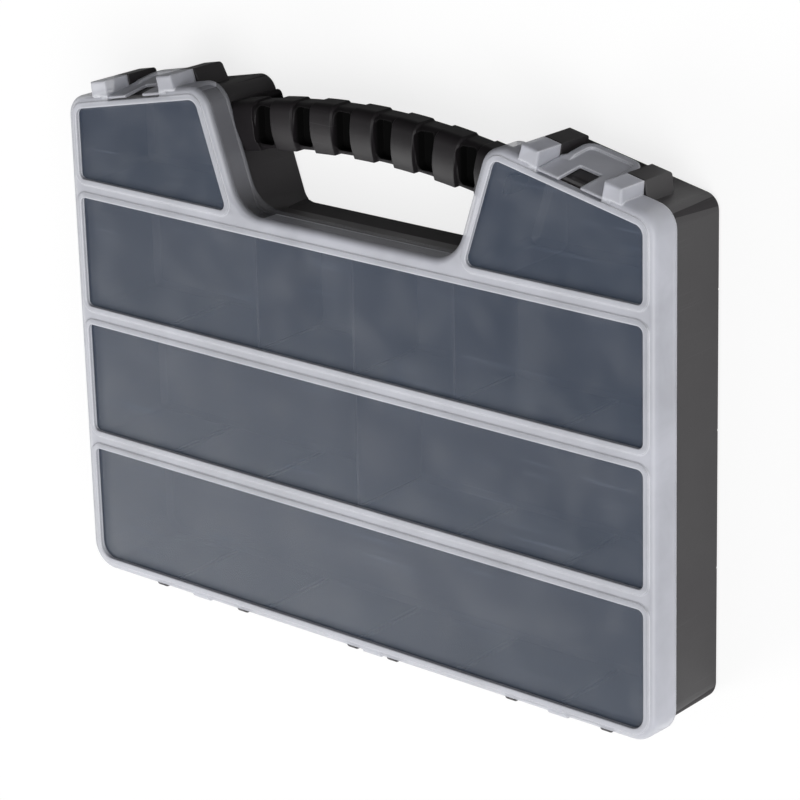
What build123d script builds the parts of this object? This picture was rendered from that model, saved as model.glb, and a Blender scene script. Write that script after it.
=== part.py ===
from build123d import *
import math
import os

# Compartment organizer case lying on its back: a black tray with a see-through hinged lid.
# Drawing frame: x to the right, y up from the hinge edge towards the handle, z from the
# tray's underside towards the lid. Angles are in degrees, lengths in millimetres.

# Overall size
CASE_WIDTH = 320.0
CASE_DEPTH = 47.5
LID_DEPTH = 14.5
PARTING_GAP = 0.4

# Outline of the lid: two raised shoulders either side of the hand opening
SHOULDER_HEIGHT = 234.7
SHOULDER_HEIGHT_AT = 85.0
SHOULDER_SLOPE = 11.6
HAND_EDGE = 183.5
HAND_HALF_WIDTH = 59.3
HAND_SLOPE = 19.0
BOTTOM_CORNER = 12.0
OUTER_CORNER = 10.0
INNER_CORNER = 11.0
HAND_CORNER = 17.0

# Lid moulding
LID_WALL = 1.8
BORDER = 5.5
BEAD_WIDTH = 2.6
BEAD_HEIGHT = 0.6
BEAD_BEVEL = 0.3
LID_EDGE_ROUND = 2.8
PANEL_RECESS = 1.8
PANEL_THICKNESS = 1.5
PANEL_SIDE_WALL = 1.2
RIB_WIDTH = 8.4
RIB_SKIN = 1.6
PANEL_CORNER = 3.0

# Rows of compartments
ROW_LINES = (62.1, 120.9, 179.4)
PARTITION = 3.4
TRAY_INSET = 2.4
TRAY_WALL = 1.4
TRAY_FLOOR = 1.6
TRAY_DRAFT = 1.4
TRAY_HAND_CORNER = 6.0
TRAY_HAND_DROP = 2.0
TUB_BEVEL = 2.6
TUB_CORNER = 3.0
RIM_INSET = 1.9
RIM_HEIGHT = 1.6
WALL_TO_PANEL = 0.4
PARTITION_TO_RIB = 0.4
BACK_BEVEL = 1.6
BACK_GROOVE_WIDTH = 5.0
BACK_GROOVE_DEPTH = 2.0

# Divider slots
SLOT_PITCH = 54.7
SLOTS_EACH_SIDE = 2
DIVIDER_THICKNESS = 1.4
DIVIDER_CLEARANCE = 0.15
DIVIDER_BELOW_PANEL = 2.4
SLOT_RIB_WIDTH = 1.0
SLOT_RIB_HEIGHT = 1.0

# Hinge on the lower edge
HINGE_DROP = 3.4
HINGE_BEHIND_FRONT = 13.0
HINGE_PIN = 1.6
HINGE_CLEARANCE = 0.06
HINGE_EYE = 3.1
HINGE_FROM_SIDE = 58.0
HINGE_SPANS = (50.0, 22.8, 50.0)
LUG_WIDTH = 4.0
HOOK_WIDTH = 9.0
HOOK_MOUTH = 2.5
LUG_FOOT = 13.0

# Latches on the shoulders
LATCH_OFFSET = 9.3
LATCH_HALF_WIDTH = 15.8
LATCH_TONGUE = 13.9
LATCH_PLATE = 1.4
LATCH_SUNK = 1.2
LATCH_LEAN = 8.5
LATCH_GAP = 0.35
LATCH_REACH = 29.0
LATCH_PIVOT_BACK = 1.7
LATCH_SHOULDER = 15.4
LATCH_CORNER = 5.5
WINDOW_HALF_WIDTH = 5.5
WINDOW_LENGTH = 12.9
RIM_WIDTH = 2.8
RIM_RISE = 1.2
RIM_LENGTH = 12.6
RIM_RAMP = 4.0
GUARD_WIDTH = 8.8
GUARD_RISE = 5.6
GUARD_FRONT = 0.3
GUARD_ROUND = 0.9
GUARD_FLARE = 0.8
PIN_REACH = 2.8
PIN_CLEARANCE = 0.05
CHEEK_WIDTH = 4.0
SEAT_DEPTH = 3.2
SEAT_WALL = 1.4
RAIL_GAP = 0.6
RAIL_LENGTH = 17.0
RAIL_FLARE = 2.5
CATCH_HALF_WIDTH = 5.0
CATCH_BELOW_LATCH = 0.35
CATCH_LENGTH = 8.5
CATCH_RAMP = 2.0

# Handle
HANDLE_CENTRE = 223.3
HANDLE_ARCH = 360.0
HANDLE_FRONT_DROP = 13.3
HANDLE_DEPTH = 16.5
HANDLE_HALF_HEIGHT = 10.6
HANDLE_BULGE = 2.4
HANDLE_BROW = 4.0
HANDLE_BACK_BEVEL = 3.4
PAD_PITCH = 22.2
PAD_WIDTH = 12.6
PAD_BEVEL = 0.8
PADS_EACH_SIDE = 2
CORE_STEP = 0.8
CORE_SET_BACK = 1.4
POCKET_SKIN = 1.6
POCKET_DEPTH = 7.6
POCKET_CORNER = 2.5
COLLAR_THICKNESS = 3.0
COLLAR_FRONT = 2.0
COLLAR_BACK = 2.5
COLLAR_SEAT = 0.1
PEG_LENGTH = 4.0
PEG_HEIGHT = 8.0
PEG_DEPTH = 12.0
PEG_CLEARANCE = 0.15

# Values that follow from the sizes above
HALF_WIDTH = CASE_WIDTH / 2
FRAME_Z = CASE_DEPTH - BEAD_HEIGHT
PANEL_Z = CASE_DEPTH - PANEL_RECESS
PANEL_BACK = PANEL_Z - PANEL_THICKNESS
RIB_BACK = FRAME_Z - RIB_SKIN
LID_BACK = CASE_DEPTH - LID_DEPTH
TRAY_STEP = LID_BACK - PARTING_GAP
WALL_TOP = PANEL_BACK - WALL_TO_PANEL
PARTITION_TOP = RIB_BACK - PARTITION_TO_RIB
HINGE_Y = -HINGE_DROP
HINGE_Z = CASE_DEPTH - HINGE_BEHIND_FRONT
SLOPE_TAN = math.tan(math.radians(SHOULDER_SLOPE))
HAND_TAN = math.tan(math.radians(HAND_SLOPE))
HINGE_CENTRES = (HINGE_FROM_SIDE - HALF_WIDTH, 0.0, HALF_WIDTH - HINGE_FROM_SIDE)
LATCH_AT = (HAND_HALF_WIDTH + HALF_WIDTH) / 2 + LATCH_OFFSET
LATCH_TOP = SHOULDER_HEIGHT - (LATCH_AT - SHOULDER_HEIGHT_AT) * SLOPE_TAN
PIVOT_Z = CASE_DEPTH - LATCH_PIVOT_BACK
PIVOT_RISE = -LATCH_SUNK - LATCH_PLATE / 2
GUARD_INNER = LATCH_HALF_WIDTH + LATCH_GAP


def shoulder_y(x, inset=0.0):
    """Height of the slanted shoulder edge over a point, moved inwards by an inset."""
    return SHOULDER_HEIGHT - (x - SHOULDER_HEIGHT_AT) * SLOPE_TAN - inset / math.cos(math.radians(SHOULDER_SLOPE))


def hand_x(y, inset=0.0):
    """Half width of the hand opening at a height, with the wall moved away from it by an inset."""
    return HAND_HALF_WIDTH + (y - HAND_EDGE) * HAND_TAN + inset / math.cos(math.radians(HAND_SLOPE))


def shoulder_peak(inset):
    """Corner where the shoulder's top edge meets the side of the hand opening."""
    x_low = hand_x(0.0, inset)
    y_low = shoulder_y(0.0, inset)
    x = (x_low + y_low * HAND_TAN) / (1 + SLOPE_TAN * HAND_TAN)
    return (x, shoulder_y(x, inset))


def rounded(points, radii):
    """Closed face through corner points, each corner with its own radius or left sharp."""
    outline = make_face(Polyline(*points, close=True))
    for point, radius in zip(points, radii):
        if radius > 0:
            corner = outline.vertices().sort_by_distance(Vector(*point))[0]
            outline = fillet(corner, radius)
    return outline


def case_outline(inset, hand_corner=None, hand_drop=0.0):
    """Outline of the whole case seen from the lid, moved inwards by an inset."""
    if hand_corner is None:
        hand_corner = HAND_CORNER + inset
    side = HALF_WIDTH - inset
    peak = shoulder_peak(inset)
    edge = HAND_EDGE - inset - hand_drop
    half = [
        (side, inset, BOTTOM_CORNER - inset),
        (side, shoulder_y(side, inset), OUTER_CORNER - inset),
        (peak[0], peak[1], INNER_CORNER - inset),
        (hand_x(edge, inset), edge, hand_corner),
    ]
    other = [(-x, y, radius) for x, y, radius in reversed(half)]
    corners = half + other
    return rounded([(x, y) for x, y, radius in corners], [radius for x, y, radius in corners])


def row_corners(low, high, inset, low_corner, high_corner):
    """Corners and corner radii of a rectangle across the case between two heights."""
    side = HALF_WIDTH - inset
    points = [(side, low), (side, high), (-side, high), (-side, low)]
    return points, [low_corner, high_corner, high_corner, low_corner]


def shoulder_corners(low, inset, low_corner, high_corner):
    """Corners and corner radii of the four-sided outline that fills the right shoulder."""
    side = HALF_WIDTH - inset
    points = [(hand_x(low, inset), low), (side, low), (side, shoulder_y(side, inset)), shoulder_peak(inset)]
    return points, [low_corner, low_corner, high_corner, high_corner]


def slab(outline, low, high, taper=0.0):
    """Outline drawn at one height and pulled to another."""
    return extrude(Pos(0, 0, low) * outline, high - low, dir=(0, 0, 1), taper=taper)


def both_sides(shape):
    """A shape and its mirror image across the middle of the case; one that spans the middle is alone."""
    if shape.bounding_box().min.X < 0:
        return shape
    return shape + mirror(shape, about=Plane.YZ)


def cells(edge_inset, line_gap, corner):
    """Corners inside the border and between the row lines: three rows, then the right shoulder."""
    lows = [edge_inset] + [line + line_gap for line in ROW_LINES[:2]]
    highs = [line - line_gap for line in ROW_LINES]
    found = []
    for low, high in zip(lows, highs):
        low_corner = BOTTOM_CORNER - edge_inset if low == edge_inset else corner
        found.append(row_corners(low, high, edge_inset, low_corner, corner))
    found.append(shoulder_corners(ROW_LINES[2] + line_gap, edge_inset, corner, OUTER_CORNER - edge_inset))
    return found


def shoulder_frame():
    """Plane on the right shoulder's top edge: local x along the edge, local y away from the case."""
    slope = math.radians(SHOULDER_SLOPE)
    return Plane(origin=(LATCH_AT, LATCH_TOP, 0), x_dir=(math.cos(slope), -math.sin(slope), 0), z_dir=(0, 0, 1))


def block(x0, x1, y0, y1, z0, z1):
    """Box between two corners."""
    return Pos((x0 + x1) / 2, (y0 + y1) / 2, (z0 + z1) / 2) * Box(x1 - x0, y1 - y0, z1 - z0)


def along_x(profile, x0, x1):
    """Profile drawn as (y, z) points and pulled along x."""
    face = make_face(Polyline(*[(x0, y, z) for y, z in profile], close=True))
    return extrude(face, x1 - x0, dir=(1, 0, 0))


def rod(radius, x0, x1):
    """Round bar along the hinge line."""
    return Pos((x0 + x1) / 2, HINGE_Y, HINGE_Z) * Rot(0, 90, 0) * Cylinder(radius, x1 - x0)


def hinge_lug(x):
    """Tray lug that carries one end of a hinge pin, with its gusset on the tray wall."""
    root = TRAY_INSET + TRAY_WALL / 2
    inner = HINGE_Y + HINGE_EYE
    outer = HINGE_Y - HINGE_EYE
    arm = [(inner, HINGE_Z), (inner, TRAY_STEP), (root, TRAY_STEP), (root + 0.6, TRAY_STEP - LUG_FOOT)]
    arm += [(outer, HINGE_Z - HINGE_EYE), (outer, HINGE_Z)]
    x0 = x - LUG_WIDTH / 2
    return along_x(arm, x0, x0 + LUG_WIDTH) + rod(HINGE_EYE, x0, x0 + LUG_WIDTH)


def tray_hinge():
    """Pairs of lugs with a moulded pin between each pair."""
    parts = []
    for centre, span in zip(HINGE_CENTRES, HINGE_SPANS):
        parts += [hinge_lug(centre - span / 2), hinge_lug(centre + span / 2)]
        parts.append(rod(HINGE_PIN, centre - span / 2, centre + span / 2))
    return parts


def lid_hook(centre):
    """Snap hook of the lid, open at the back where it is pushed over the pin."""
    x0 = centre - HOOK_WIDTH / 2
    x1 = centre + HOOK_WIDTH / 2
    top = LID_WALL / 2
    neck = [(top, HINGE_Z + HINGE_EYE * 2), (top, HINGE_Z), (HINGE_Y, HINGE_Z), (HINGE_Y - HINGE_EYE * 0.7, HINGE_Z + HINGE_EYE * 0.7)]
    hook = along_x(neck, x0, x1) + rod(HINGE_EYE, x0, x1)
    hook -= rod(HINGE_PIN + HINGE_CLEARANCE, x0, x1)
    mouth = block(x0, x1, HINGE_Y - HOOK_MOUTH / 2, HINGE_Y + HOOK_MOUTH / 2, HINGE_Z - HINGE_EYE * 2, HINGE_Z)
    return hook - mouth


def latch_frame():
    """Plane of the closed latch: origin on its hinge line, local x along it, local y out of its face."""
    return shoulder_frame() * Pos(0, PIVOT_RISE, PIVOT_Z) * Rot(LATCH_LEAN, 0, 0)


def guard_block(side):
    """Lid block beside the latch, as deep as the skirt and standing above the shoulder's edge."""
    low = -LID_WALL / 2
    inner = side * GUARD_INNER
    outer = side * (GUARD_INNER + GUARD_WIDTH)
    foot = side * (GUARD_INNER + GUARD_WIDTH + GUARD_FLARE)
    section = make_face(Polyline((inner, low), (inner, GUARD_RISE), (outer, GUARD_RISE), (foot, low), close=True))
    shape = slab(section, LID_BACK, CASE_DEPTH - GUARD_FRONT)
    front = shape.faces().sort_by(Axis.Z)[-1]
    raised = [edge for edge in front.edges() if edge.center().Y > 0]
    return fillet(raised, GUARD_ROUND)


def hinge_edge(half, radius):
    """Round bar along the latch's hinge line."""
    return Rot(0, 90, 0) * Cylinder(radius, half * 2)


def latch_seat():
    """Opening in the lid's edge that takes the latch between the blocks."""
    half = GUARD_INNER
    return block(-half, half, -SEAT_DEPTH, GUARD_RISE * 2, LID_BACK, CASE_DEPTH)


def seat_walls():
    """Wall that closes the lid behind the latch's hinge line, and the cheeks that carry its pins."""
    far = GUARD_INNER + CHEEK_WIDTH
    low = -SEAT_DEPTH - SEAT_WALL
    wall = block(-far, far, low, -SEAT_DEPTH, PANEL_BACK, FRAME_Z)
    cheeks = block(GUARD_INNER, far, low, -LID_WALL / 2, PANEL_BACK, FRAME_Z)
    return wall + both_sides(cheeks)


def make_lid():
    """Lid moulding: skirt, border, ribs between recessed panels, blocks, latch seats and hooks."""
    lid = slab(case_outline(0.0), LID_BACK, FRAME_Z)
    front_edges = lid.faces().sort_by(Axis.Z)[-1].edges()
    lid = fillet(front_edges, LID_EDGE_ROUND)
    lid -= slab(case_outline(LID_WALL), LID_BACK, PANEL_BACK)
    channel = slab(case_outline(LID_WALL), PANEL_BACK, RIB_BACK)
    for points, radii in cells(BORDER - PANEL_SIDE_WALL, RIB_WIDTH / 2 - PANEL_SIDE_WALL, 0.0):
        keep = slab(rounded(points, radii), PANEL_BACK, RIB_BACK)
        channel -= both_sides(keep)
    lid -= channel
    for points, radii in cells(BORDER, RIB_WIDTH / 2, PANEL_CORNER):
        outline = rounded(points, radii)
        bead = slab(offset(outline, BEAD_WIDTH), FRAME_Z, CASE_DEPTH)
        bead = chamfer(bead.faces().sort_by(Axis.Z)[-1].edges(), BEAD_BEVEL)
        lid += both_sides(bead)
        lid -= both_sides(slab(outline, PANEL_Z, CASE_DEPTH))
    top = shoulder_frame()
    lid += both_sides(top * seat_walls())
    for side in (-1, 1):
        lid += both_sides(top * guard_block(side))
    lid -= both_sides(top * latch_seat())
    pins = hinge_edge(LATCH_HALF_WIDTH + PIN_REACH + LATCH_GAP, LATCH_PLATE / 2 + PIN_CLEARANCE)
    lid -= both_sides(latch_frame() * pins)
    for centre in HINGE_CENTRES:
        lid += lid_hook(centre)
    return lid


def tub(corners, clearance=0.0):
    """Inside of one compartment row: drafted sides, rounded corners and a bevelled floor."""
    points, radii = corners
    depth = CASE_DEPTH - TRAY_FLOOR - clearance
    mouth = Pos(0, 0, CASE_DEPTH) * make_face(Polyline(*points, close=True))
    hollow = extrude(mouth, depth, dir=(0, 0, -1), taper=TRAY_DRAFT)
    for point, radius in zip(points, radii):
        uprights = [edge for edge in hollow.edges() if abs(edge.tangent_at(0.5).Z) > 0.9]
        corner = Vector(point[0], point[1], CASE_DEPTH)
        nearest = min(uprights, key=lambda edge: edge.distance_to(corner))
        hollow = fillet(nearest, radius)
    floor = hollow.faces().sort_by(Axis.Z)[0]
    return chamfer(floor.edges(), TUB_BEVEL)


def tub_cells(clearance=0.0):
    """Mouths of the tubs in the plane of the lid's front."""
    inset = TRAY_INSET + TRAY_WALL + clearance
    return cells(inset, PARTITION / 2 + clearance, TUB_CORNER)


def slot_positions():
    """Divider places across a row."""
    return [SLOT_PITCH * n for n in range(-SLOTS_EACH_SIDE, SLOTS_EACH_SIDE + 1)]


def slot_ribs(row):
    """Pairs of guide ribs on both long walls of a row, one pair each side of a divider."""
    hollow = tub(tub_cells()[row])
    core = tub(tub_cells(SLOT_RIB_HEIGHT)[row], SLOT_RIB_HEIGHT)
    ring = hollow - core
    gap = DIVIDER_THICKNESS / 2 + DIVIDER_CLEARANCE
    foot = TRAY_FLOOR + SLOT_RIB_HEIGHT + TUB_BEVEL
    ribs = []
    size = hollow.bounding_box()
    for x in slot_positions():
        for side in (-1, 1):
            near = x + side * gap
            far = near + side * SLOT_RIB_WIDTH
            zone = block(min(near, far), max(near, far), size.min.Y, size.max.Y, foot, WALL_TOP)
            ribs += (ring & zone).solids()
    return ribs


def guard_rail(side):
    """Tray rail behind a lid block, flared at its outer foot."""
    low = -TRAY_INSET - TRAY_WALL / 2
    inner = side * GUARD_INNER
    outer = side * (GUARD_INNER + GUARD_WIDTH)
    foot = side * (GUARD_INNER + GUARD_WIDTH + RAIL_FLARE)
    points = [(inner, low), (inner, GUARD_RISE), (outer, GUARD_RISE), (foot, -TRAY_INSET), (foot, low)]
    front = LID_BACK - RAIL_GAP
    shape = slab(make_face(Polyline(*points, close=True)), front - RAIL_LENGTH, front)
    back = shape.faces().sort_by(Axis.Z)[0]
    raised = [edge for edge in back.edges() if edge.center().Y > GUARD_RISE * 0.9]
    return fillet(raised, GUARD_ROUND * 2)


def latch_catch():
    """Nose on the tray wall under the latch window, its top in line with the leaning latch."""
    top = -LATCH_PLATE / 2 - CATCH_BELOW_LATCH
    back = -WINDOW_LENGTH - CATCH_RAMP / 2
    front = back + CATCH_LENGTH
    low = -GUARD_RISE
    profile = [(low, back), (top, back), (top, front - CATCH_RAMP), (top - CATCH_RAMP / 2, front), (low, front)]
    nose = latch_frame() * along_x(profile, -CATCH_HALF_WIDTH, CATCH_HALF_WIDTH)
    root = -TRAY_INSET - TRAY_WALL / 2
    return nose & (shoulder_frame() * block(-LATCH_HALF_WIDTH, LATCH_HALF_WIDTH, root, GUARD_RISE, 0, WALL_TOP))


def peg_frame():
    """Plane on the tray wall beside the hand opening, level with the handle: local x into the shoulder."""
    slope = math.radians(HAND_SLOPE)
    y = handle_y(hand_x(HANDLE_CENTRE))
    wall = hand_x(y, TRAY_INSET)
    return Plane(origin=(wall, y, HINGE_Z - HANDLE_DEPTH / 2), x_dir=(math.cos(slope), -math.sin(slope), 0), z_dir=(0, 0, 1))


def make_tray():
    """Tray moulding: tubs, double partitions, rim, rails, catches, sockets and hinge pins."""
    outline = case_outline(TRAY_INSET, TRAY_HAND_CORNER)
    draft = TRAY_STEP * math.tan(math.radians(TRAY_DRAFT))
    base = case_outline(TRAY_INSET + draft, TRAY_HAND_CORNER, TRAY_HAND_DROP)
    tray = loft([base, Pos(0, 0, TRAY_STEP) * outline], ruled=True)
    tray = chamfer(tray.faces().sort_by(Axis.Z)[0].edges(), BACK_BEVEL)
    tray += slab(outline, TRAY_STEP, WALL_TOP)
    tray += slab(case_outline(RIM_INSET, TRAY_HAND_CORNER), TRAY_STEP - RIM_HEIGHT, TRAY_STEP)
    for line in ROW_LINES:
        side = HALF_WIDTH - TRAY_INSET - TRAY_WALL
        tray += block(-side, side, line - PARTITION / 2, line + PARTITION / 2, WALL_TOP - TUB_BEVEL, PARTITION_TOP)
    hand_zone = slab(outline, WALL_TOP, CASE_DEPTH)
    top_bar = block(-HALF_WIDTH, HALF_WIDTH, ROW_LINES[2] - PARTITION, ROW_LINES[2] + PARTITION, WALL_TOP, CASE_DEPTH)
    tray -= top_bar - hand_zone
    for corners in tub_cells():
        tray -= both_sides(tub(corners))
    for line in ROW_LINES:
        half = BACK_GROOVE_WIDTH / 2
        groove = [(line - half, 0), (line, BACK_GROOVE_DEPTH), (line + half, 0)]
        tray -= along_x(groove, -HALF_WIDTH, HALF_WIDTH)
    top = shoulder_frame()
    low = -TRAY_INSET - TRAY_WALL * 2
    half = GUARD_INNER + CHEEK_WIDTH + LATCH_GAP
    tray -= both_sides(top * block(-half, half, low, 0, PANEL_BACK - SEAT_DEPTH, CASE_DEPTH))
    tray -= both_sides(top * block(-GUARD_INNER, GUARD_INNER, -TRAY_INSET, 0, 0, TRAY_STEP))
    tray += both_sides(top * guard_rail(-1)) + both_sides(top * guard_rail(1))
    tray += both_sides(latch_catch())
    socket = Box(PEG_LENGTH * 3, PEG_HEIGHT + 2 * PEG_CLEARANCE, PEG_DEPTH + 2 * PEG_CLEARANCE)
    tray -= both_sides(peg_frame() * socket)
    for piece in tray_hinge():
        tray += piece
    for row in range(len(ROW_LINES)):
        for rib in slot_ribs(row):
            tray += rib
    return tray


def latch_plan():
    """Plan of the latch from its hinge line: arms between the blocks, then the tongue between the rails."""
    step = -LATCH_SHOULDER
    side = [(LATCH_HALF_WIDTH, 0), (LATCH_HALF_WIDTH, step + LATCH_HALF_WIDTH - LATCH_TONGUE), (LATCH_TONGUE, step)]
    side.append((LATCH_TONGUE, -LATCH_REACH))
    corners = side + [(-x, z) for x, z in reversed(side)]
    face = make_face(Polyline(*[(x, 0, z) for x, z in corners], close=True))
    ends = [v for v in face.vertices() if v.Z < 0.1 - LATCH_REACH]
    return fillet(ends, LATCH_CORNER)


def make_latch():
    """Latch flap of the right shoulder: two arms beside a window, and a tongue with a raised rim."""
    half = LATCH_PLATE / 2
    tall = GUARD_RISE * 2
    body = extrude(Pos(0, -half, 0) * latch_plan(), tall, dir=(0, 1, 0))
    ramp = RIM_LENGTH - LATCH_REACH
    rim = half + RIM_RISE
    profile = [(-half, -LATCH_REACH), (-half, 0), (half, 0), (half, ramp + RIM_RAMP), (rim, ramp), (rim, -LATCH_REACH)]
    shape = body & along_x(profile, -LATCH_HALF_WIDTH, LATCH_HALF_WIDTH)
    inside = LATCH_TONGUE - RIM_WIDTH
    well = block(-inside, inside, half, tall, RIM_WIDTH - LATCH_REACH, LATCH_REACH)
    uprights = [e for e in well.edges() if abs(e.tangent_at(0).Y) > 0.9 and e.center().Z < ramp]
    shape -= fillet(uprights, LATCH_CORNER - RIM_WIDTH)
    shape += hinge_edge(LATCH_HALF_WIDTH + PIN_REACH, half)
    window = block(-WINDOW_HALF_WIDTH, WINDOW_HALF_WIDTH, -tall, tall, -WINDOW_LENGTH, tall)
    shape -= fillet([e for e in window.edges() if abs(e.tangent_at(0).Y) > 0.9], 0.6)
    return latch_frame() * shape


def handle_y(x):
    """Height of the handle's arched middle line over a point."""
    return HANDLE_CENTRE - HANDLE_ARCH + math.sqrt(HANDLE_ARCH ** 2 - x ** 2)


def handle_section(half_height, front, bulge):
    """Section of the grip in the y-z plane: crowned front, flat top and bottom, bevelled back."""
    back = CASE_DEPTH - HANDLE_FRONT_DROP - HANDLE_DEPTH
    bevel = HANDLE_BACK_BEVEL
    y0 = HANDLE_CENTRE - half_height
    y1 = HANDLE_CENTRE + half_height
    brow = HANDLE_BROW
    low_front = (0, y0, front - bulge)
    high_front = (0, y1 - brow, front - bulge * 0.3)
    shoulder = (0, y1, front - brow - bulge * 0.5)
    crown = ThreePointArc(low_front, (0, y0 + half_height * 0.6, front - bulge * 0.2), high_front)
    turn = ThreePointArc(high_front, (0, y1 - brow * 0.27, front - brow * 0.6), shoulder)
    rest = [shoulder, (0, y1, back + bevel), (0, y1 - bevel, back), (0, y0 + bevel, back), (0, y0, back + bevel), low_front]
    edges = [Line(start, end) for start, end in zip(rest, rest[1:])]
    return make_face(Wire([crown, turn] + edges))


def arched(section, x0, x1):
    """Section carried along the handle's arch between two places."""
    axis = Axis((0, HANDLE_CENTRE - HANDLE_ARCH, 0), (0, 0, 1))
    start = math.degrees(math.asin(x0 / HANDLE_ARCH))
    end = math.degrees(math.asin(x1 / HANDLE_ARCH))
    turned = section.rotate(axis, -end)
    return revolve(turned, axis=axis, revolution_arc=end - start)


def make_handle():
    """Carrying handle: arched hollow grip with pads, pockets between them and end collars."""
    front = CASE_DEPTH - HANDLE_FRONT_DROP
    reach = hand_x(HANDLE_CENTRE)
    core = handle_section(HANDLE_HALF_HEIGHT - CORE_STEP, front - CORE_SET_BACK, HANDLE_BULGE)
    pad = handle_section(HANDLE_HALF_HEIGHT, front, HANDLE_BULGE)
    handle = arched(core, -reach, reach)
    places = [PAD_PITCH * n for n in range(-PADS_EACH_SIDE, PADS_EACH_SIDE + 1)]
    for x in places:
        piece = arched(pad, x - PAD_WIDTH / 2, x + PAD_WIDTH / 2)
        ends = [e for face in piece.faces() if face.geom_type == GeomType.PLANE and abs(face.normal_at().X) > 0.9 for e in face.edges()]
        handle += chamfer(ends, PAD_BEVEL)
    root = PAD_PITCH * (PADS_EACH_SIDE + 1) - PAD_WIDTH / 2
    handle += arched(pad, root, reach) + arched(pad, -reach, -root)
    pocket_half = (PAD_PITCH - PAD_WIDTH) / 2
    inner = HANDLE_HALF_HEIGHT - CORE_STEP - POCKET_SKIN
    for n in range(-PADS_EACH_SIDE - 1, PADS_EACH_SIDE + 1):
        x = PAD_PITCH * (n + 0.5)
        pocket = block(x - pocket_half, x + pocket_half, handle_y(x) - inner, handle_y(x) + inner, front - POCKET_DEPTH, front + 1)
        uprights = [e for e in pocket.edges() if abs(e.tangent_at(0).Z) > 0.9]
        handle -= fillet(uprights, POCKET_CORNER)
    seat = peg_frame()
    half = HANDLE_HALF_HEIGHT
    seat_z = HINGE_Z - HANDLE_DEPTH / 2
    collar_back = COLLAR_BACK - seat_z
    collar_front = LID_BACK - COLLAR_FRONT - seat_z
    beyond = block(0, PAD_PITCH, -HALF_WIDTH, HALF_WIDTH, -CASE_DEPTH, CASE_DEPTH)
    handle -= both_sides(seat * Pos(-COLLAR_SEAT, 0, 0) * beyond)
    lid_side = block(-TRAY_INSET - LATCH_GAP, PAD_PITCH, -CASE_DEPTH, CASE_DEPTH, collar_front, CASE_DEPTH)
    handle -= both_sides(seat * lid_side)
    collar = block(-COLLAR_SEAT - COLLAR_THICKNESS, -COLLAR_SEAT, -half, half, collar_back, collar_front)
    collar = fillet([e for e in collar.edges() if abs(e.tangent_at(0).X) > 0.9], 2.5)
    peg = block(-COLLAR_THICKNESS, PEG_LENGTH, -PEG_HEIGHT / 2, PEG_HEIGHT / 2, -PEG_DEPTH / 2, PEG_DEPTH / 2)
    handle += both_sides(seat * collar) + both_sides(seat * peg)
    return handle


def make_divider(row, place):
    """Loose partition that stands in a pair of guide ribs and follows the tub's section."""
    hollow = tub(tub_cells(DIVIDER_CLEARANCE)[row], DIVIDER_CLEARANCE)
    size = hollow.bounding_box()
    top = PANEL_BACK - DIVIDER_BELOW_PANEL
    x = SLOT_PITCH * place
    half = DIVIDER_THICKNESS / 2
    return hollow & block(x - half, x + half, size.min.Y, size.max.Y, 0, top)


def single(shape):
    """The one solid of a finished piece."""
    return max(shape.solids(), key=lambda solid: solid.volume)


def main():
    os.makedirs("parts", exist_ok=True)
    latch = make_latch()
    pieces = {
        "tray": make_tray(),
        "lid": make_lid(),
        "handle": make_handle(),
        "latch_right": latch,
        "latch_left": mirror(latch, about=Plane.YZ),
        "divider_top_row_left": make_divider(2, -1),
        "divider_top_row_middle": make_divider(2, 0),
        "divider_top_row_right": make_divider(2, 1),
        "divider_middle_row": make_divider(1, 0),
    }
    low = HINGE_Y - HINGE_EYE
    high = max(piece.bounding_box().max.Y for piece in pieces.values())
    place = Rot(0, 0, 180) * Pos(0, -(low + high) / 2, 0)
    for name, piece in pieces.items():
        export_step(place * single(piece), f"parts/{name}.step")
        print(name, len(piece.solids()))
    print("middle height", (low + high) / 2)


main()
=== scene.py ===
"""Finish, light and camera for the compartment organizer case."""

import math

import bpy
from mathutils import Matrix, Vector


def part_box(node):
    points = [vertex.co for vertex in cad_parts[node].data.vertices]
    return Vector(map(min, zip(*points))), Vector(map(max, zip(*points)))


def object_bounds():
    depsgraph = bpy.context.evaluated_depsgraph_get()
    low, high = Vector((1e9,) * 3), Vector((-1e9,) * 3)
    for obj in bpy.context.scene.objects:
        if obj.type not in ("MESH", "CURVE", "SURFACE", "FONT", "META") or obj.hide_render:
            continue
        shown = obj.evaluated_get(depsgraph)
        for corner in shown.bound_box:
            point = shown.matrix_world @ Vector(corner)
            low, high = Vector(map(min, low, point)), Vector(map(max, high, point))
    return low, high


bl_info = {
    "name": "Organizer Case Finish",
    "version": (1, 0, 0),
    "blender": (4, 5, 0),
    "location": "View3D > Sidebar > Organizer",
    "description": "Moulded plastics, studio light and camera for a compartment organizer case",
    "category": "Material",
}

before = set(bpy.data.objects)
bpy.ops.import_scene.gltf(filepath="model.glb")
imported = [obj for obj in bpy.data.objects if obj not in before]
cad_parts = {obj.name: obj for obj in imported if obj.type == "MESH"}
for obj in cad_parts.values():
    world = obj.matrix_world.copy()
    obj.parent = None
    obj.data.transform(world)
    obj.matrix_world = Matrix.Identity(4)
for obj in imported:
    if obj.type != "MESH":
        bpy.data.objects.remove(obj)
case_low, case_high = [Vector(corner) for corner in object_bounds()]

LATCHES = ("latch_left", "latch_right")
DIVIDERS = tuple(sorted(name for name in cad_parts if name.startswith("divider")))

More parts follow.
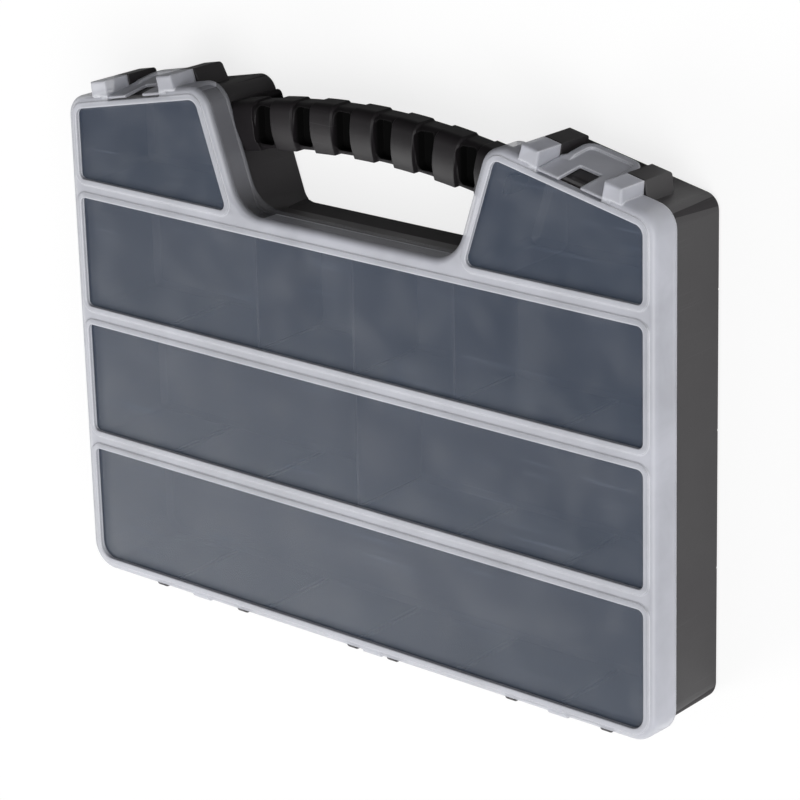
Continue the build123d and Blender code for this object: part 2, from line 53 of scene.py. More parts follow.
# Heights and edges of the mouldings, in metres
LID_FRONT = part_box("lid")[1][2]
HANDLE_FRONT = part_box("handle")[1][2]
PANEL_OUTER_DROP = 0.0018
PANEL_INNER_DROP = 0.0033
PANEL_LEVEL_WITHIN = 0.0003
PANEL_FACING = 0.9
HAND_OPENING_EDGE = -0.0660
HAND_OPENING_HALF_WIDTH = 0.0820
SKIRT_FADE_FROM = 0.0012
SKIRT_FADE_TO = 0.0042
SKIRT_CLEAREST_WITHIN = 0.058
SKIRT_CLEAR_FROM = 0.066
SHOULDER_FALL = 0.2053
TUB_BELOW_TOP = -0.0100
TUB_FROM_SIDE = 0.0034
TUB_LOWER_EDGE = 0.1125
TUB_FROM_OPENING = 0.002
TUB_FLOOR = 0.0014
HANDLE_ARCH_CENTRE = 0.25257
HANDLE_ARCH_RADIUS = 0.360
POCKET_HALF_WIDTH = 0.0080
POCKET_RIM = 0.0092
POCKET_SHADE_FROM = 0.0016
POCKET_SHADE_TO = 0.0040

# Colours that the settings leave out
# Near-black painted shade for the handle's pockets, not the plastic's own colour
POCKET_PAINTED_SHADE = (0.004, 0.004, 0.004)
# Whitish painted highlight along the edges of the clear mouldings
RIM_PAINTED_HIGHLIGHT = (0.86, 0.87, 0.91)
DUST_GREY = (0.6, 0.62, 0.66)
WHITE = (1.0, 1.0, 1.0)

# Wear, relief and gloss
DARK_SHARE = 0.8
LIGHT_SHARE = 1.25
SCRATCH_RUB = 0.25
DUST_RUB = 0.22
DUST_ROUGHNESS = 0.25
EDGE_POLISH = -0.12
BLACK_RELIEF = 0.6
DULL_RELIEF = 0.08
DULL_ROUGHNESS = 0.85
CLEAR_GRAIN = 0.0009
CLEAR_RELIEF = 0.4
CLEAR_RELIEF_DEPTH = 0.00006
CLEAR_EDGE_WIDTH = 0.0014
CLEAR_IOR = 1.8
FLOW_RELIEF = 2.5
SKIRT_LEAST_COVER = 0.07

# Studio
KEY_FROM = (-0.55, 0.15, 0.82)
SHEEN_FROM = (0.70, 0.51, 0.52)
SHEEN_SOFTNESS = math.radians(26)
LAMP_DISTANCE = 3.0
FLOOR_REACH = 6.0
FLOOR_GAP = 0.0002
FLOOR_ROUGHNESS = 0.9
FLOOR_DIM_FROM = -0.05
FLOOR_DIM_TO = 0.09
FLOOR_SIDE_BLEND = 0.03
DIM_FLOOR_SHARE = 0.03
DIM_SURROUND_SHARE = 0.22
SENSOR_WIDTH = 36.0


class BlackPlasticSettings(bpy.types.PropertyGroup):
    """Look of the black tray, handle and dividers."""

    colour: bpy.props.FloatVectorProperty(
        name="Colour",
        description="Body colour of the black moulding",
        subtype="COLOR",
        size=3,
        min=0.0,
        max=1.0,
        default=(0.0150, 0.0126, 0.0146),
    )
    # Colour of real scuffs and dust, also used as painted highlight along edges
    worn_and_highlight_colour: bpy.props.FloatVectorProperty(
        name="Rubbed colour",
        description="Greyer colour of rubbed edges and scuffs",
        subtype="COLOR",
        size=3,
        min=0.0,
        max=1.0,
        default=(0.055, 0.053, 0.057),
    )
    roughness: bpy.props.FloatProperty(
        name="Roughness",
        description="Roughness of the moulded surface",
        subtype="FACTOR",
        min=0.0,
        max=1.0,
        default=0.46,
    )
    grain: bpy.props.FloatProperty(
        name="Grain",
        description="Size of the spark-eroded grain",
        unit="LENGTH",
        min=0.0001,
        max=0.01,
        default=0.0007,
    )
    grain_depth: bpy.props.FloatProperty(
        name="Grain depth",
        description="Depth of the grain",
        unit="LENGTH",
        min=0.0,
        max=0.001,
        default=0.00006,
    )


class ClearPlasticSettings(bpy.types.PropertyGroup):
    """Look of the see-through lid and latches."""

    milky: bpy.props.FloatVectorProperty(
        name="Milky colour",
        description="Colour of the frame, ribs and beads",
        subtype="COLOR",
        size=3,
        min=0.0,
        max=1.0,
        default=(0.56, 0.57, 0.63),
    )
    clear: bpy.props.FloatVectorProperty(
        name="Panel tint",
        description="Haze colour of the thin panels",
        subtype="COLOR",
        size=3,
        min=0.0,
        max=1.0,
        default=(0.10, 0.145, 0.235),
    )
    frame_cover: bpy.props.FloatProperty(
        name="Frame cover",
        description="How much each surface of the thick frame hides",
        subtype="FACTOR",
        min=0.0,
        max=1.0,
        default=0.60,
    )
    panel_cover: bpy.props.FloatProperty(
        name="Panel cover",
        description="How much each surface of a thin panel hides",
        subtype="FACTOR",
        min=0.0,
        max=1.0,
        default=0.18,
    )
    latch_cover: bpy.props.FloatProperty(
        name="Latch cover",
        description="How much each surface of a latch hides",
        subtype="FACTOR",
        min=0.0,
        max=1.0,
        default=0.60,
    )
    roughness: bpy.props.FloatProperty(
        name="Roughness",
        description="Roughness of the frame and the latches",
        subtype="FACTOR",
        min=0.0,
        max=1.0,
        default=0.42,
    )
    panel_roughness: bpy.props.FloatProperty(
        name="Panel roughness",
        description="Roughness of the panels",
        subtype="FACTOR",
        min=0.0,
        max=1.0,
        default=0.24,
    )


class StudioSettings(bpy.types.PropertyGroup):
    """Floor, lamps and camera."""

    floor_colour: bpy.props.FloatVectorProperty(
        name="Floor colour",
        description="Colour of the studio floor",
        subtype="COLOR",
        size=3,
        min=0.0,
        max=1.0,
        default=(0.97, 0.97, 0.97),
    )
    floor_bounce: bpy.props.FloatProperty(
        name="Floor bounce",
        description="How light the floor is to everything but the camera",
        subtype="FACTOR",
        min=0.0,
        max=1.0,
        default=1.0,
    )
    floor_lift: bpy.props.FloatProperty(
        name="Floor lift",
        description="How far the camera sees the floor washed out to white",
        subtype="FACTOR",
        min=0.0,
        max=1.0,
        default=0.8,
    )
    key_strength: bpy.props.FloatProperty(
        name="Key strength",
        description="Strength of the large soft key lamp",
        min=0.0,
        max=10.0,
        default=2.25,
    )
    sheen_strength: bpy.props.FloatProperty(
        name="Sheen strength",
        description="Strength of the low lamp that glosses the panels",
        min=0.0,
        max=10.0,
        default=0.95,
    )
    key_softness: bpy.props.FloatProperty(
        name="Key softness",
        description="Apparent size of the key lamp",
        subtype="ANGLE",
        min=0.0,
        max=math.pi,
        default=math.radians(50),
    )
    surround: bpy.props.FloatProperty(
        name="Surround",
        description="Brightness of the studio around the case",
        min=0.0,
        max=2.0,
        default=0.42,
    )
    aim: bpy.props.FloatVectorProperty(
        name="Aim",
        description="Point that the camera looks at",
        subtype="TRANSLATION",
        unit="LENGTH",
        size=3,
        default=(-0.00882878, 0.00748876, 0.02375),
    )
    azimuth: bpy.props.FloatProperty(
        name="Azimuth",
        description="Camera direction round the case, zero from the handle side",
        subtype="ANGLE",
        default=math.radians(-62.1130),
    )
    elevation: bpy.props.FloatProperty(
        name="Elevation",
        description="Camera height above the floor as an angle",
        subtype="ANGLE",
        default=math.radians(44.9251),
    )
    roll: bpy.props.FloatProperty(
        name="Roll",
        description="Turn of the camera about its own axis",
        subtype="ANGLE",
        default=math.radians(-112.0330),
    )
    distance: bpy.props.FloatProperty(
        name="Distance",
        description="Distance from the camera to its aim",
        unit="LENGTH",
        min=0.1,
        default=1.40342,
    )
    lens: bpy.props.FloatProperty(
        name="Lens",
        description="Focal length on a 36 mm sensor",
        unit="CAMERA",
        min=10.0,
        default=150.246,
    )


def place_node(tree, kind, inputs=None, **settings):
    """Adds a node, with its settings, and its inputs as values or links."""
    node = tree.nodes.new(kind)
    for name, value in settings.items():
        setattr(node, name, value)
    for key, value in (inputs or {}).items():
        if isinstance(value, bpy.types.NodeSocket):
            tree.links.new(value, node.inputs[key])
        else:
            node.inputs[key].default_value = value
    return node


def calculate(tree, operation, first, second=0.0, third=0.0, clamp=False):
    """Result of one sum on one, two or three values."""
    values = {0: first, 1: second, 2: third}
    node = place_node(tree, "ShaderNodeMath", values, operation=operation, use_clamp=clamp)
    return node.outputs[0]


def remap(tree, value, low, high, new_low=0.0, new_high=1.0):
    """Value taken from one range to another, clamped."""
    values = {
        "Value": value, "From Min": low, "From Max": high, "To Min": new_low, "To Max": new_high
    }
    return place_node(tree, "ShaderNodeMapRange", values).outputs["Result"]


def blend_values(tree, mask, first, second):
    """Second value where the mask is one, first where it is zero."""
    values = {0: mask, 2: first, 3: second}
    return place_node(tree, "ShaderNodeMix", values, data_type="FLOAT").outputs[0]


def blend_colours(tree, mask, first, second):
    """Second colour where the mask is one, first where it is zero."""
    values = {0: mask, 6: first, 7: second}
    return place_node(tree, "ShaderNodeMix", values, data_type="RGBA").outputs[2]


def noise(tree, place, scale, detail, distortion=0.0):
    """Value of a noise at a place."""
    values = {"Vector": place, "Scale": scale, "Detail": detail, "Distortion": distortion}
    return place_node(tree, "ShaderNodeTexNoise", values).outputs[0]


def stretched(tree, place, scale, angle):
    """Place turned about the vertical and stretched, for streaks."""
    values = {"Vector": place, "Scale": scale, "Rotation": (0.0, 0.0, angle)}
    return place_node(tree, "ShaderNodeMapping", values).outputs[0]


def start_group(name, inputs, outputs):
    """Empty node group with named sockets, its input and its output node."""
    tree = bpy.data.node_groups.new(name, "ShaderNodeTree")
    for title, kind, value in inputs:
        socket = tree.interface.new_socket(title, in_out="INPUT", socket_type=kind)
        if value is not None:
            socket.default_value = value
    for title, kind in outputs:
        tree.interface.new_socket(title, in_out="OUTPUT", socket_type=kind)
    given = tree.nodes.new("NodeGroupInput").outputs
    return tree, given, tree.nodes.new("NodeGroupOutput").inputs


def moulded_grain():
    """Group: fine spark-eroded grain and slow cloudiness of a moulding."""
    name = "Moulded grain"
    if name in bpy.data.node_groups:
        return bpy.data.node_groups[name]
    inputs = [
        ("Place", "NodeSocketVector", None),
        ("Grain", "NodeSocketFloat", 0.0007),
        ("Cloud", "NodeSocketFloat", 0.04),
    ]
    outputs = [("Height", "NodeSocketFloat"), ("Cloudiness", "NodeSocketFloat")]
    tree, given, result = start_group(name, inputs, outputs)
    place = given["Place"]
    fine = noise(tree, place, calculate(tree, "DIVIDE", 1.0, given["Grain"]), detail=3.0)
    coarse = noise(tree, place, calculate(tree, "DIVIDE", 0.3, given["Grain"]), detail=1.0)
    height = calculate(tree, "MULTIPLY_ADD", coarse, 0.45, calculate(tree, "MULTIPLY", fine, 0.55))
    cloud_scale = calculate(tree, "DIVIDE", 1.0, given["Cloud"])
    cloud = noise(tree, place, cloud_scale, detail=4.0, distortion=0.4)
    tree.links.new(height, result["Height"])
    tree.links.new(remap(tree, cloud, 0.32, 0.68), result["Cloudiness"])
    return tree


def rubbed_and_highlighted_edges():
    """Group: mask of edges rubbed by handling, also used to paint highlights along them, and the
    normal of a slightly rounded edge.
    """
    name = "Rubbed edges"
    if name in bpy.data.node_groups:
        return bpy.data.node_groups[name]
    inputs = [
        ("Place", "NodeSocketVector", None),
        ("Width", "NodeSocketFloat", 0.0006),
        ("Breakup", "NodeSocketFloat", 0.5),
    ]
    outputs = [("Edge", "NodeSocketFloat"), ("Normal", "NodeSocketVector")]
    tree, given, result = start_group(name, inputs, outputs)
    bevel = place_node(tree, "ShaderNodeBevel", {"Radius": given["Width"]}, samples=6)
    rounded = bevel.outputs["Normal"]
    flat = tree.nodes.new("ShaderNodeNewGeometry").outputs["Normal"]
    turn = place_node(tree, "ShaderNodeVectorMath", {0: rounded, 1: flat}, operation="DOT_PRODUCT")
    edge = remap(tree, turn.outputs["Value"], 0.995, 0.80)
    patchy = remap(tree, noise(tree, given["Place"], 160.0, detail=4.0), 0.35, 0.65)
    kept = blend_values(tree, given["Breakup"], 1.0, patchy)
    tree.links.new(calculate(tree, "MULTIPLY", edge, kept, clamp=True), result["Edge"])
    tree.links.new(rounded, result["Normal"])
    return tree


def handling_marks():
    """Group: long hairline scratches in two directions, and settled dust."""
    name = "Handling marks"
    if name in bpy.data.node_groups:
        return bpy.data.node_groups[name]
    inputs = [("Place", "NodeSocketVector", None), ("Amount", "NodeSocketFloat", 0.5)]
    outputs = [("Scratches", "NodeSocketFloat"), ("Dust", "NodeSocketFloat")]
    tree, given, result = start_group(name, inputs, outputs)
    place = given["Place"]
    limit = remap(tree, given["Amount"], 0.0, 1.0, 0.76, 0.62)
    streaks = []
    for angle, across in ((0.35, 1500.0), (-1.1, 1900.0)):
        turned = stretched(tree, place, (9.0, across, 9.0), angle)
        value = noise(tree, turned, 1.0, detail=1.0)
        streaks.append(calculate(tree, "GREATER_THAN", value, limit))
    both = calculate(tree, "MAXIMUM", streaks[0], streaks[1])
    broken = remap(tree, noise(tree, place, 28.0, detail=2.0), 0.48, 0.6)
    specks = calculate(tree, "GREATER_THAN", noise(tree, place, 1400.0, detail=0.0), 0.76)
    haze = remap(tree, noise(tree, place, 45.0, detail=5.0), 0.45, 0.75)
    dust = calculate(tree, "MULTIPLY_ADD", haze, 0.35, specks, clamp=True)
    tree.links.new(calculate(tree, "MULTIPLY", both, broken), result["Scratches"])
    tree.links.new(calculate(tree, "MULTIPLY", dust, given["Amount"]), result["Dust"])
    return tree


def use_group(tree, group, inputs):
    """Outputs of a shared group put into a material."""
    return place_node(tree, "ShaderNodeGroup", inputs, node_tree=group).outputs


def new_material(name):
    """Material with an empty tree, its Principled shader and its object coordinates."""
    material = bpy.data.materials.new(name)
    material.use_nodes = True
    tree = material.node_tree
    shader = tree.nodes["Principled BSDF"]
    coordinates = tree.nodes.new("ShaderNodeTexCoord").outputs
    return material, tree, shader, coordinates


def opaque(colour):
    """Colour with full cover."""
    return (colour[0], colour[1], colour[2], 1.0)


def black_moulding(
    name, settings, gloss, marks, tone=1.0, roughness=None, edge_width=0.0006, rub_and_highlight=0.3,
    shade=None, dull=None, dull_gloss=None,
):
    """Black moulded plastic: grain, cloudiness, rubbed edges with painted highlights, scratches,
    dust and optional painted shade.
    """
    material, tree, shader, coordinates = new_material(name)
    place = coordinates["Object"]
    if roughness is None:
        roughness = settings.roughness
    grain_sizes = {"Place": place, "Grain": settings.grain, "Cloud": 0.05}
    grain = use_group(tree, moulded_grain(), grain_sizes)
    edge_sizes = {"Place": place, "Width": edge_width, "Breakup": 0.6}
    edges = use_group(tree, rubbed_and_highlighted_edges(), edge_sizes)
    wear = use_group(tree, handling_marks(), {"Place": place, "Amount": marks})
    dark = opaque([part * tone * DARK_SHARE for part in settings.colour])
    light = opaque([part * tone * LIGHT_SHARE for part in settings.colour])
    body = blend_colours(tree, grain["Cloudiness"], dark, light)
    # Edges lighten towards the rubbed colour: partly real rubbing, partly painted highlight;
    # scratches and dust are real wear
    worn_and_highlighted = calculate(tree, "MULTIPLY", edges["Edge"], rub_and_highlight)
    worn_and_highlighted = calculate(tree, "MULTIPLY_ADD", wear["Scratches"], SCRATCH_RUB, worn_and_highlighted, clamp=True)
    worn_and_highlighted = calculate(tree, "MULTIPLY_ADD", wear["Dust"], DUST_RUB, worn_and_highlighted, clamp=True)
    body = blend_colours(tree, worn_and_highlighted, body, opaque(settings.worn_and_highlight_colour))
    # Painted shade: the body turns near black where the shade mask is one
    if shade is not None:
        body = blend_colours(tree, shade(tree, place), body, opaque(POCKET_PAINTED_SHADE))
    rough = remap(tree, grain["Cloudiness"], 0.0, 1.0, roughness - 0.05, roughness + 0.06)
    rough = calculate(tree, "MULTIPLY_ADD", wear["Dust"], DUST_ROUGHNESS, rough, clamp=True)
    rough = calculate(tree, "MULTIPLY_ADD", edges["Edge"], EDGE_POLISH, rough, clamp=True)
    relief = BLACK_RELIEF
    if dull is None:
        shader.inputs["Specular IOR Level"].default_value = gloss
    else:
        mask = dull(tree, place)
        rough = blend_values(tree, mask, rough, DULL_ROUGHNESS)
        shine = blend_values(tree, mask, gloss, dull_gloss)
        relief = blend_values(tree, mask, relief, DULL_RELIEF)
        tree.links.new(shine, shader.inputs["Specular IOR Level"])
    bumps = {
        "Height": grain["Height"], "Normal": edges["Normal"],
        "Strength": relief, "Distance": settings.grain_depth,
    }
    bump = place_node(tree, "ShaderNodeBump", bumps)
    tree.links.new(body, shader.inputs["Base Color"])
    tree.links.new(rough, shader.inputs["Roughness"])
    tree.links.new(bump.outputs["Normal"], shader.inputs["Normal"])
    return material


def split(tree, vector):
    """Outputs X, Y and Z of a vector."""
    return place_node(tree, "ShaderNodeSeparateXYZ", {0: vector}).outputs


def both_masks(tree, first, second):
    """Mask that is one where both masks are one."""
    return calculate(tree, "MULTIPLY", first, second)


def inside_tubs(tree, place):
    """Mask of the tray's inside, within its outer walls and clear of the hand opening."""
    parts = split(tree, place)
    across = calculate(tree, "ABSOLUTE", parts["X"])
    top = calculate(tree, "MULTIPLY_ADD", across, SHOULDER_FALL, case_low.y + TUB_BELOW_TOP)
    inner = calculate(tree, "LESS_THAN", across, case_high.x - TUB_FROM_SIDE)
    lower = calculate(tree, "LESS_THAN", parts["Y"], TUB_LOWER_EDGE)
    rows = calculate(tree, "GREATER_THAN", parts["Y"], HAND_OPENING_EDGE + TUB_FROM_OPENING)
    below_top = calculate(tree, "GREATER_THAN", parts["Y"], top)
    beside_opening = calculate(tree, "GREATER_THAN", across, HAND_OPENING_HALF_WIDTH)
    shoulder = both_masks(tree, below_top, beside_opening)
    tubs = calculate(tree, "MAXIMUM", rows, shoulder)
    held = both_masks(tree, tubs, both_masks(tree, inner, lower))
    return both_masks(tree, held, calculate(tree, "GREATER_THAN", parts["Z"], TUB_FLOOR))


def inside_pockets(tree, place):
    """Mask of the handle's deep pockets, below the front of the grip, where shade is painted in.
    """
    parts = split(tree, place)
    along = calculate(tree, "SUBTRACT", parts["Y"], HANDLE_ARCH_CENTRE)
    across_squared = calculate(tree, "MULTIPLY", parts["X"], parts["X"])
    squares = calculate(tree, "MULTIPLY_ADD", along, along, across_squared)
    from_centre = calculate(tree, "SQRT", squares)
    off_arch = calculate(tree, "SUBTRACT", from_centre, HANDLE_ARCH_RADIUS)
    off_arch = calculate(tree, "ABSOLUTE", off_arch)
    within = remap(tree, off_arch, POCKET_RIM, POCKET_HALF_WIDTH)
    shade_from, shade_to = HANDLE_FRONT - POCKET_SHADE_FROM, HANDLE_FRONT - POCKET_SHADE_TO
    return both_masks(tree, within, remap(tree, parts["Z"], shade_from, shade_to))


def panel_mask(tree, coordinates):
    """Mask of both faces of the lid's thin panels, in the lid's own coordinates."""
    height = split(tree, coordinates["Object"])["Z"]
    facing = split(tree, coordinates["Normal"])["Z"]
    faces = [
        calculate(tree, "COMPARE", height, LID_FRONT - drop, PANEL_LEVEL_WITHIN)
        for drop in (PANEL_OUTER_DROP, PANEL_INNER_DROP)
    ]
    # The normal is turned over on the panel's inner face, so its size counts and not its sign.
    level = calculate(tree, "GREATER_THAN", calculate(tree, "ABSOLUTE", facing), PANEL_FACING)
    return both_masks(tree, calculate(tree, "MAXIMUM", faces[0], faces[1]), level)


def hand_wall_mask(tree, place):
    """Mask of the lid's clearer skirt around the hand opening."""
    parts = split(tree, place)
    across = calculate(tree, "ABSOLUTE", parts["X"])
    across = calculate(tree, "LESS_THAN", across, HAND_OPENING_HALF_WIDTH)
    near = calculate(tree, "LESS_THAN", parts["Y"], HAND_OPENING_EDGE)
    below = remap(tree, parts["Z"], LID_FRONT - SKIRT_FADE_FROM, LID_FRONT - SKIRT_FADE_TO)
    return both_masks(tree, both_masks(tree, across, near), below)


def skirt_cover(tree, place, cover):
    """Cover of the skirt round the hand opening, least along the opening's long edge."""
    across = calculate(tree, "ABSOLUTE", split(tree, place)["X"])
    return remap(tree, across, SKIRT_CLEAREST_WITHIN, SKIRT_CLEAR_FROM, SKIRT_LEAST_COVER, cover)


def clear_moulding(name, settings, cover, panels=False):
    """Milky see-through plastic, thinner and clearer in the lid's panels, with painted highlights
    along its edges.
    """
    material, tree, shader, coordinates = new_material(name)
    place = coordinates["Object"]
    grain_sizes = {"Place": place, "Grain": CLEAR_GRAIN, "Cloud": 0.03}
    grain = use_group(tree, moulded_grain(), grain_sizes)
    edge_sizes = {"Place": place, "Width": CLEAR_EDGE_WIDTH, "Breakup": 0.15}
    edges = use_group(tree, rubbed_and_highlighted_edges(), edge_sizes)
    wear = use_group(tree, handling_marks(), {"Place": place, "Amount": 0.5})
    cloud = grain["Cloudiness"]
    milky = opaque(settings.milky)
    pale = opaque([min(1.0, part * 1.12) for part in settings.milky])
    colour = blend_colours(tree, cloud, milky, pale)
    # Painted highlight: edges are whitened and made less see-through
    rim_highlight = calculate(tree, "MULTIPLY", edges["Edge"], 0.7)
    colour = blend_colours(tree, rim_highlight, colour, opaque(RIM_PAINTED_HIGHLIGHT))
    alpha = remap(tree, cloud, 0.0, 1.0, cover - 0.04, cover + 0.05)
    alpha = calculate(tree, "MULTIPLY_ADD", edges["Edge"], 0.3, alpha, clamp=True)
    rough = remap(tree, cloud, 0.0, 1.0, settings.roughness - 0.05, settings.roughness + 0.05)
    height = grain["Height"]
    if panels:
        panel = panel_mask(tree, coordinates)
        haze = blend_colours(tree, wear["Dust"], opaque(settings.clear), opaque(DUST_GREY))
        colour = blend_colours(tree, panel, colour, haze)
        thinnest, thickest = settings.panel_cover - 0.008, settings.panel_cover + 0.008
        thin = remap(tree, cloud, 0.0, 1.0, thinnest, thickest)
        thin = calculate(tree, "MULTIPLY_ADD", wear["Scratches"], 0.12, thin)
        thin = calculate(tree, "MULTIPLY_ADD", wear["Dust"], 0.06, thin)
        skirt = skirt_cover(tree, place, settings.panel_cover)
        alpha = blend_values(tree, hand_wall_mask(tree, place), alpha, skirt)
        alpha = blend_values(tree, panel, alpha, thin)
        smoothest, roughest = settings.panel_roughness - 0.03, settings.panel_roughness + 0.04
        polished = remap(tree, cloud, 0.0, 1.0, smoothest, roughest)
        polished = calculate(tree, "MULTIPLY_ADD", wear["Dust"], 0.2, polished)
        rough = blend_values(tree, panel, rough, polished)
        lengthened = stretched(tree, place, (1.0, 1.6, 1.0), 0.5)
        flow = noise(tree, lengthened, 14.0, detail=1.0, distortion=0.6)
        height = blend_values(tree, panel, height, calculate(tree, "MULTIPLY", flow, FLOW_RELIEF))
    rough = calculate(tree, "MULTIPLY_ADD", wear["Scratches"], 0.15, rough, clamp=True)
    bumps = {
        "Height": height, "Normal": edges["Normal"],
        "Strength": CLEAR_RELIEF, "Distance": CLEAR_RELIEF_DEPTH,
    }
    bump = place_node(tree, "ShaderNodeBump", bumps)
    tree.links.new(colour, shader.inputs["Base Color"])
    tree.links.new(alpha, shader.inputs["Alpha"])
    tree.links.new(rough, shader.inputs["Roughness"])
    tree.links.new(bump.outputs["Normal"], shader.inputs["Normal"])
    shader.inputs["IOR"].default_value = CLEAR_IOR
    return material


def dress(name, material):
    """Gives a node of the frame its material in every slot."""
    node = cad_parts[name]
    if not node.material_slots:
        node.data.materials.append(material)
    for slot in node.material_slots:
        slot.material = material


class ORGANIZER_OT_tray(bpy.types.Operator):
    """Finishes the black tray."""

    bl_idname = "organizer.tray"
    bl_label = "Finish tray"

    def execute(self, context):
        settings = context.scene.organizer_black
        material = black_moulding(
            "Tray black", settings, gloss=0.7, marks=0.45, rub_and_highlight=0.2,
            dull=inside_tubs, dull_gloss=0.6,
        )
        dress("tray", material)
        return {"FINISHED"}


class ORGANIZER_OT_lid(bpy.types.Operator):
    """Finishes the see-through lid."""

    bl_idname = "organizer.lid"
    bl_label = "Finish lid"

    def execute(self, context):
        settings = context.scene.organizer_clear
        material = clear_moulding("Lid clear", settings, settings.frame_cover, panels=True)
        dress("lid", material)
        return {"FINISHED"}


class ORGANIZER_OT_latches(bpy.types.Operator):
    """Finishes both see-through latches."""

    bl_idname = "organizer.latches"
    bl_label = "Finish latches"

    def execute(self, context):
        settings = context.scene.organizer_clear
        material = clear_moulding("Latch clear", settings, settings.latch_cover)
        for name in LATCHES:
            dress(name, material)
        return {"FINISHED"}


class ORGANIZER_OT_handle(bpy.types.Operator):
    """Finishes the black carrying handle."""

    bl_idname = "organizer.handle"
    bl_label = "Finish handle"

    def execute(self, context):
        settings = context.scene.organizer_black
        # The pocket mask paints near-black shade into the handle's pockets and dulls their gloss
        material = black_moulding(
            "Handle black", settings, gloss=0.25, marks=0.2, tone=0.7, rub_and_highlight=0.12,
            shade=inside_pockets, dull=inside_pockets, dull_gloss=0.03,
        )
        dress("handle", material)
        return {"FINISHED"}


class ORGANIZER_OT_dividers(bpy.types.Operator):
    """Finishes the loose dividers."""

    bl_idname = "organizer.dividers"
    bl_label = "Finish dividers"

    def execute(self, context):
        settings = context.scene.organizer_black
        material = black_moulding(
            "Divider black", settings, gloss=0.15, marks=0.1, roughness=0.55, edge_width=0.0002
        )
        for name in DIVIDERS:
            dress(name, material)
        return {"FINISHED"}


def floor_material(colour, bounce, lift):
    """White studio floor that bounces less light on the handle's side, unseen by the camera."""
    material, tree, shader, coordinates = new_material("Studio floor")
    seen = tree.nodes.new("ShaderNodeLightPath").outputs["Is Camera Ray"]
    place = split(tree, coordinates["Object"])
    inner, outer = case_low.x + FLOOR_SIDE_BLEND, case_low.x - FLOOR_SIDE_BLEND
    side = calculate(tree, "ADD", place["Y"], remap(tree, place["X"], inner, outer))
    dim_from, dim_to = case_low.y + FLOOR_DIM_FROM, case_low.y + FLOOR_DIM_TO
    dim = remap(tree, side, dim_from, dim_to, bounce * DIM_FLOOR_SHARE, bounce)
    bounced = place_node(tree, "ShaderNodeCombineColor", {0: dim, 1: dim, 2: dim}).outputs[0]
    tree.links.new(blend_colours(tree, seen, bounced, opaque(colour)), shader.inputs["Base Color"])
    shader.inputs["Roughness"].default_value = FLOOR_ROUGHNESS
    shader.inputs["Specular IOR Level"].default_value = 0.0
    white = place_node(tree, "ShaderNodeEmission", {"Color": opaque(WHITE), "Strength": 1.0})
    mix = place_node(tree, "ShaderNodeMixShader", {0: calculate(tree, "MULTIPLY", seen, lift)})
    tree.links.new(shader.outputs[0], mix.inputs[1])
    tree.links.new(white.outputs[0], mix.inputs[2])
    tree.links.new(mix.outputs[0], tree.nodes["Material Output"].inputs["Surface"])
    return material


def add_lamp(name, strength, softness, direction):
    """Sun lamp shining at the case from a direction."""
    data = bpy.data.lights.new(name, "SUN")
    data.energy = strength
    data.angle = softness
    lamp = bpy.data.objects.new(name, data)
    bpy.context.scene.collection.objects.link(lamp)
    towards = Vector(direction).normalized()
    lamp.location = towards * LAMP_DISTANCE
    lamp.rotation_euler = towards.to_track_quat("Z", "Y").to_euler()


def studio_camera(settings):
    """Camera at the photograph's viewing angle."""
    data = bpy.data.cameras.new("Studio camera")
    data.sensor_width = SENSOR_WIDTH
    data.lens = settings.lens
    camera = bpy.data.objects.new("Studio camera", data)
    bpy.context.scene.collection.objects.link(camera)
    flat, rise = math.cos(settings.elevation), math.sin(settings.elevation)
    cosine, sine = math.cos(settings.azimuth), math.sin(settings.azimuth)
    back = Vector((sine * flat, -cosine * flat, rise))
    level = Vector((cosine, sine, 0.0))
    upright = back.cross(level)
    right = level * math.cos(settings.roll) + upright * math.sin(settings.roll)
    up = back.cross(right)
    turned = Matrix((right, up, back)).transposed().to_4x4()
    location = Vector(settings.aim) + back * settings.distance
    camera.matrix_world = Matrix.Translation(location) @ turned
    bpy.context.scene.camera = camera


def studio_world(strength):
    """Soft white surround, dimmer on the handle's side."""
    world = bpy.data.worlds.new("Studio surround")
    world.use_nodes = True
    tree = world.node_tree
    place = tree.nodes.new("ShaderNodeTexCoord").outputs["Generated"]
    side = split(tree, place)["Y"]
    level = remap(tree, side, -0.8, 0.2, strength * DIM_SURROUND_SHARE, strength)
    background = tree.nodes["Background"].inputs
    tree.links.new(level, background["Strength"])
    background["Color"].default_value = opaque(WHITE)
    bpy.context.scene.world = world


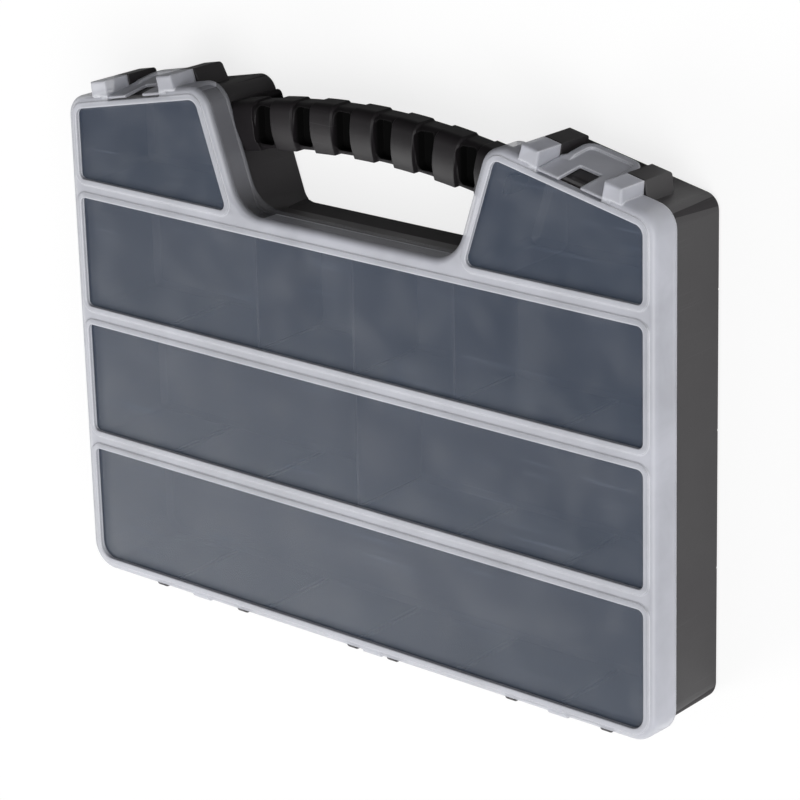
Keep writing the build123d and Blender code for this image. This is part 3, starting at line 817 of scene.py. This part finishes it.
class ORGANIZER_OT_studio(bpy.types.Operator):
    """Builds the floor, the lamps, the surround and the camera."""

    bl_idname = "organizer.studio"
    bl_label = "Build studio"

    def execute(self, context):
        settings = context.scene.organizer_studio
        mesh = bpy.data.meshes.new("Floor")
        signs = ((-1, -1), (1, -1), (1, 1), (-1, 1))
        corners = [(x * FLOOR_REACH, y * FLOOR_REACH, 0.0) for x, y in signs]
        mesh.from_pydata(corners, [], [(0, 1, 2, 3)])
        white = floor_material(settings.floor_colour, settings.floor_bounce, settings.floor_lift)
        mesh.materials.append(white)
        floor = bpy.data.objects.new("Floor", mesh)
        floor.location.z = case_low.z - FLOOR_GAP
        context.scene.collection.objects.link(floor)
        add_lamp("Key", settings.key_strength, settings.key_softness, KEY_FROM)
        add_lamp("Sheen", settings.sheen_strength, SHEEN_SOFTNESS, SHEEN_FROM)
        studio_world(settings.surround)
        studio_camera(settings)
        context.scene.view_settings.view_transform = "Standard"
        return {"FINISHED"}


class ORGANIZER_PT_panel(bpy.types.Panel):
    """Lists the steps that finish the case."""

    bl_idname = "ORGANIZER_PT_panel"
    bl_label = "Organizer case"
    bl_space_type = "VIEW_3D"
    bl_region_type = "UI"
    bl_category = "Organizer"

    def draw(self, context):
        for step in STEPS:
            self.layout.operator(step.bl_idname)
        for name, title, _ in GROUPS:
            group = getattr(context.scene, name)
            box = self.layout.box()
            box.label(text=title)
            for setting in group.__annotations__:
                box.prop(group, setting)


STEPS = (
    ORGANIZER_OT_tray,
    ORGANIZER_OT_lid,
    ORGANIZER_OT_latches,
    ORGANIZER_OT_handle,
    ORGANIZER_OT_dividers,
    ORGANIZER_OT_studio,
)
GROUPS = (
    ("organizer_black", "Black plastic", BlackPlasticSettings),
    ("organizer_clear", "Clear plastic", ClearPlasticSettings),
    ("organizer_studio", "Studio", StudioSettings),
)


def register():
    """Registers the settings, the steps and the panel."""
    for name, _, group in GROUPS:
        bpy.utils.register_class(group)
        setattr(bpy.types.Scene, name, bpy.props.PointerProperty(type=group))
    for item in STEPS + (ORGANIZER_PT_panel,):
        bpy.utils.register_class(item)


def unregister():
    """Takes everything back out."""
    for item in reversed(STEPS + (ORGANIZER_PT_panel,)):
        bpy.utils.unregister_class(item)
    for name, _, group in reversed(GROUPS):
        delattr(bpy.types.Scene, name)
        bpy.utils.unregister_class(group)


def main():
    """Runs every step in order."""
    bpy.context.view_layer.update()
    register()
    bpy.ops.organizer.tray()
    bpy.ops.organizer.lid()
    bpy.ops.organizer.latches()
    bpy.ops.organizer.handle()
    bpy.ops.organizer.dividers()
    bpy.ops.organizer.studio()


if __name__ == "__main__":
    main()
